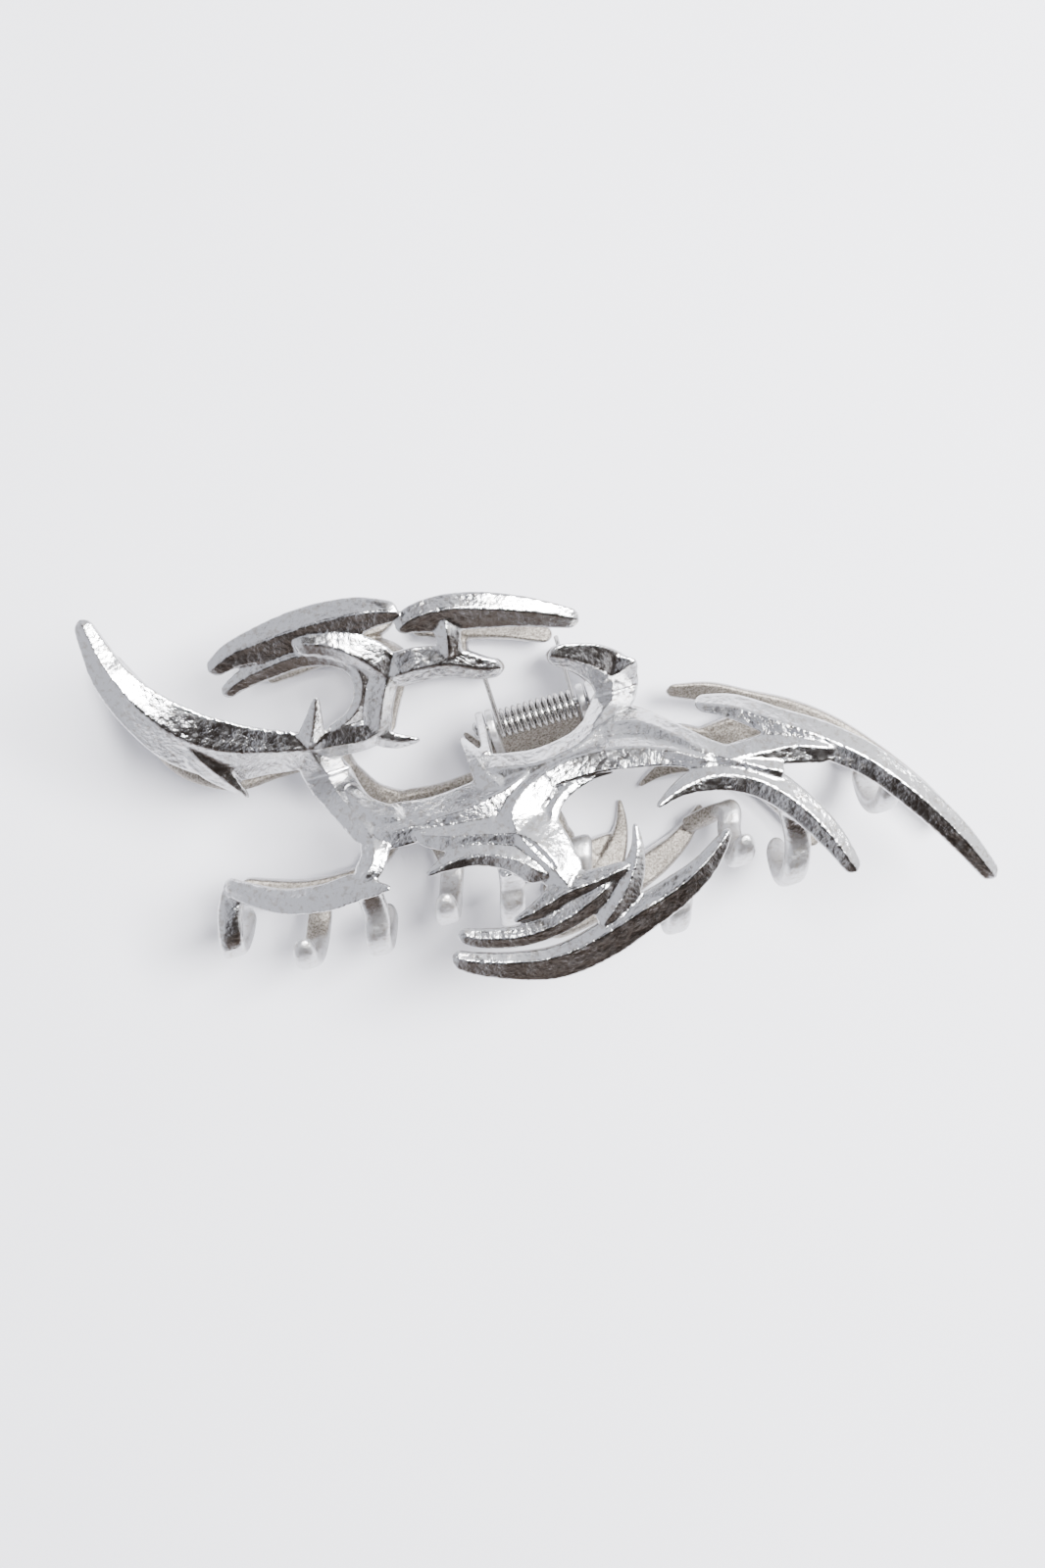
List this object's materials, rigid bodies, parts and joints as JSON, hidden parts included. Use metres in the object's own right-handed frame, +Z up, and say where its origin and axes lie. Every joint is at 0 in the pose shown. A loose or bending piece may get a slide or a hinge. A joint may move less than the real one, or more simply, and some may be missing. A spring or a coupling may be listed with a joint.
{
  "type": "hair claw clip",
  "caption": "Large polished metal hair claw clip: two thorn-patterned cast jaws with curled teeth, hinged on a pin and closed by a torsion spring.",
  "frame": {"origin": "middle of the clip's bounding box, on the surface that it lies on", "axes": "+X along the hinge pin, towards the long right horn; +Y from the teeth to the finger plates; +Z up, out of the front jaw, with the clip lying on its rear jaw"},
  "size_m": [0.1146, 0.0664, 0.033],
  "materials": {
    "plated_casting": "bright nickel plate over a zinc casting, polished outside with a faint hammered ripple, sandy as cast inside",
    "pin_steel": "plated steel, smooth",
    "spring_wire": "bright drawn spring wire"
  },
  "bodies": {
    "rear_half": {"rear_jaw": "plated_casting", "hinge_pin": "pin_steel", "spring_coil": "spring_wire", "spring_rear_leg": "spring_wire"},
    "front_half": {"front_jaw": "plated_casting", "spring_front_leg": "spring_wire"}
  },
  "joints": [
    {"name": "jaw_hinge", "type": "hinge", "parent": "rear_half", "child": "front_half", "pos_m": [0.00191, 0.00441, 0.01649], "axis": [-1, 0, 0], "range_deg": [0, 50], "stiffness_Nm_per_rad": 0.06, "springref_deg": -57.3}
  ]
}
